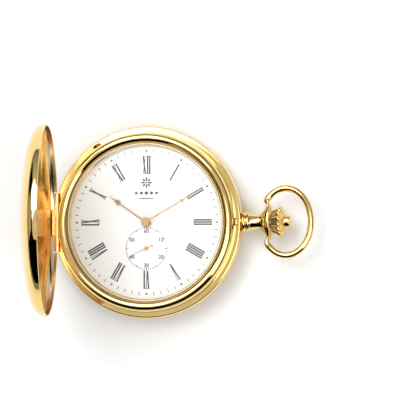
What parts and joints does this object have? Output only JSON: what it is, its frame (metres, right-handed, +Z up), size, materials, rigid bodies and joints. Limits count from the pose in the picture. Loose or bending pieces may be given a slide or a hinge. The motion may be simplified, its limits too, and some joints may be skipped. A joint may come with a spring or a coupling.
{
  "type": "pocket watch",
  "caption": "Round hunter pocket watch with a sprung hinged front cover, snap back, small seconds, crown with release button, and a swinging bow.",
  "frame": {"origin": "centre of the flat on the back cover's outside face", "axes": "+Z up out of the dial, +X to 3 o'clock and the pendant, +Y to 12 o'clock"},
  "size_m": [0.069, 0.048, 0.0538],
  "materials": {
    "gold_plate": "polished gold plate",
    "steel": "ground",
    "brass": "grained",
    "rose_gold": "polished",
    "crystal_glass": "clear, polished",
    "gasket_nylon": "moulded natural nylon",
    "dial_enamel": "glossy white lacquer with printed numerals",
    "moulded_plastic": "moulded",
    "chip_plastic": "moulded",
    "copper_wire": "wound enamelled wire",
    "circuit_board": "solder mask",
    "battery_case": "nickel plated"
  },
  "bodies": {
    "back": {"back_cover": "gold_plate"},
    "case": {"case_middle": "gold_plate", "case_hinge_knuckle_upper": "gold_plate", "case_hinge_knuckle_lower": "gold_plate", "hinge_pin": "steel", "crystal_bezel": "gold_plate", "crystal": "crystal_glass", "crystal_gasket": "gasket_nylon", "dial": "dial_enamel", "pendant": "gold_plate", "pendant_tube": "steel", "movement_holder": "moulded_plastic", "movement_clamp_upper": "brass", "movement_clamp_lower": "brass", "clamp_screw_upper": "steel", "clamp_screw_lower": "steel", "mainplate": "brass", "train_bridge": "brass", "bridge_screw_left": "steel", "bridge_screw_right": "steel", "bridge_screw_top": "steel", "clutch_yoke": "steel", "battery": "battery_case", "battery_clamp": "steel", "circuit_board": "circuit_board", "driver_chip": "chip_plastic", "quartz_resonator": "battery_case", "stator": "steel", "coil_core": "steel", "coil": "copper_wire"},
    "front_cover": {"front_cover": "gold_plate", "cover_hinge_knuckle": "gold_plate"},
    "lift_spring": {"lift_spring": "steel"},
    "lock_spring": {"lock_spring": "steel"},
    "bow": {"bow": "gold_plate"},
    "clutch": {"setting_clutch": "steel"},
    "crown": {"crown": "gold_plate", "setting_stem": "steel"},
    "button": {"release_button": "gold_plate", "push_stem": "steel"},
    "setting_lever": {"setting_lever": "steel"},
    "setting_wheel": {"setting_wheel": "brass"},
    "minute_train": {"centre_wheel": "brass", "minute_hand": "rose_gold"},
    "hour_train": {"hour_wheel": "brass", "hour_hand": "rose_gold"},
    "minute_wheel": {"minute_wheel": "brass"},
    "third_wheel": {"third_wheel": "brass"},
    "seconds_train": {"seconds_wheel": "brass", "seconds_hand": "rose_gold"},
    "intermediate_wheel": {"intermediate_wheel": "brass"},
    "rotor": {"rotor": "steel"}
  },
  "joints": [
    {"name": "back_snap", "type": "slide", "parent": "back", "child": "case", "axis": [0, 0, 1], "range_m": [0, 0.012]},
    {"name": "cover_hinge", "type": "hinge", "parent": "case", "child": "front_cover", "pos_m": [-0.0228, 0, 0.0075], "axis": [0, 1, 0], "range_deg": [0, 83], "stiffness_Nm_per_rad": 0.003, "springref_deg": -30},
    {"name": "lift_spring_bend", "type": "slide", "parent": "case", "child": "lift_spring", "axis": [1, 0, 0], "range_m": [0, 0.0003]},
    {"name": "bow_swing", "type": "hinge", "parent": "case", "child": "bow", "pos_m": [0.0302, 0, 0.00585], "axis": [0, 1, 0], "range_deg": [-90, 90]},
    {"name": "crown_turn", "type": "hinge", "parent": "case", "child": "clutch", "pos_m": [0.0313, 0, 0.00585], "axis": [1, 0, 0], "continuous": true},
    {"name": "crown_pull", "type": "slide", "parent": "clutch", "child": "crown", "axis": [1, 0, 0], "range_m": [0, 0.001]},
    {"name": "button_press", "type": "slide", "parent": "crown", "child": "button", "axis": [-1, 0, 0], "range_m": [0, 0.0008], "stiffness_N_per_m": 4000, "springref_m": -0.0004},
    {"name": "lock_catch", "type": "slide", "parent": "case", "child": "lock_spring", "axis": [-1, 0, 0], "range_m": [0, 0.0008]},
    {"name": "setting_lever_turn", "type": "hinge", "parent": "case", "child": "setting_lever", "pos_m": [0.0097, -0.0019, 0.00655], "axis": [0, 0, 1], "range_deg": [-29.6, 0]},
    {"name": "minute_turn", "type": "hinge", "parent": "case", "child": "minute_train", "pos_m": [0, 0, 0.005], "axis": [0, 0, -1], "continuous": true},
    {"name": "hour_turn", "type": "hinge", "parent": "case", "child": "hour_train", "pos_m": [0, 0, 0.00695], "axis": [0, 0, -1], "continuous": true},
    {"name": "minute_wheel_turn", "type": "hinge", "parent": "case", "child": "minute_wheel", "pos_m": [0.0029, 0.00213, 0.00662], "axis": [0, 0, -1], "continuous": true},
    {"name": "setting_wheel_turn", "type": "hinge", "parent": "case", "child": "setting_wheel", "pos_m": [0.00679, 0.00151, 0.00662], "axis": [0, 0, -1], "continuous": true},
    {"name": "third_wheel_turn", "type": "hinge", "parent": "case", "child": "third_wheel", "pos_m": [-0.0013, -0.00336, 0.00455], "axis": [0, 0, -1], "continuous": true},
    {"name": "seconds_turn", "type": "hinge", "parent": "case", "child": "seconds_train", "pos_m": [0, -0.0065, 0.005], "axis": [0, 0, -1], "continuous": true},
    {"name": "intermediate_turn", "type": "hinge", "parent": "case", "child": "intermediate_wheel", "pos_m": [0.0026, -0.00754, 0.00455], "axis": [0, 0, -1], "continuous": true},
    {"name": "rotor_turn", "type": "hinge", "parent": "case", "child": "rotor", "pos_m": [0.0046, -0.00621, 0.00495], "axis": [0, 0, -1], "continuous": true}
  ],
  "couplings": [
    {"joint": "lift_spring_bend", "follows": "cover_hinge", "m_per_rad": 0.0002},
    {"joint": "lock_catch", "follows": "button_press", "ratio": 1},
    {"joint": "setting_lever_turn", "follows": "crown_pull", "rad_per_m": -515},
    {"joint": "hour_turn", "follows": "minute_turn", "ratio": 0.083333},
    {"joint": "minute_wheel_turn", "follows": "minute_turn", "ratio": -0.33333},
    {"joint": "setting_wheel_turn", "follows": "minute_turn", "ratio": 0.72727},
    {"joint": "third_wheel_turn", "follows": "minute_turn", "ratio": -8},
    {"joint": "seconds_turn", "follows": "minute_turn", "ratio": 60},
    {"joint": "intermediate_turn", "follows": "minute_turn", "ratio": -360},
    {"joint": "rotor_turn", "follows": "minute_turn", "ratio": 1800}
  ]
}
